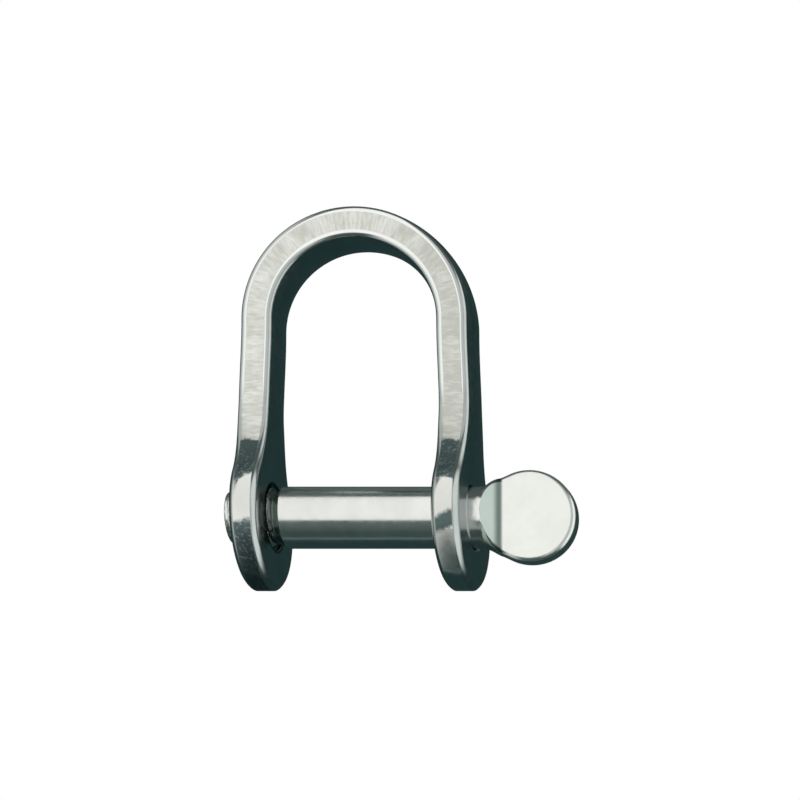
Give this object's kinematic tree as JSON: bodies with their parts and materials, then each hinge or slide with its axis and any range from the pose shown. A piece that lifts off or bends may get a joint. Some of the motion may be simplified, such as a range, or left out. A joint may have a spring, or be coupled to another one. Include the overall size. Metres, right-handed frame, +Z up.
{
  "type": "dee shackle",
  "caption": "Strip dee shackle in stainless steel: a U-bent bow with round ears, closed by a screw pin with a flat round thumb head that withdraws to open it.",
  "frame": {"origin": "on the ground under the middle of the shackle's bounding box, with the shackle lying flat on the rims of its ears", "axes": "+X runs along the pin from its threaded tip to its thumb head, +Y runs from the pin to the crown of the bow, and +Z is up, square to the bow's flat plane"},
  "size_m": [0.0288, 0.0316, 0.0106],
  "materials": {
    "strip_steel": "tumbled and polished stainless strip, with fine strokes across the sheared edges and softly rounded corners",
    "pin_steel": "polished turned stainless steel, satin on the pressed faces of the head"
  },
  "bodies": {
    "bow": {"bow": "strip_steel"},
    "pin": {"screw_pin": "pin_steel"}
  },
  "joints": [
    {"name": "pin_withdrawal", "type": "slide", "parent": "bow", "child": "pin", "axis": [1, 0, 0], "range_m": [0, 0.0215]}
  ]
}
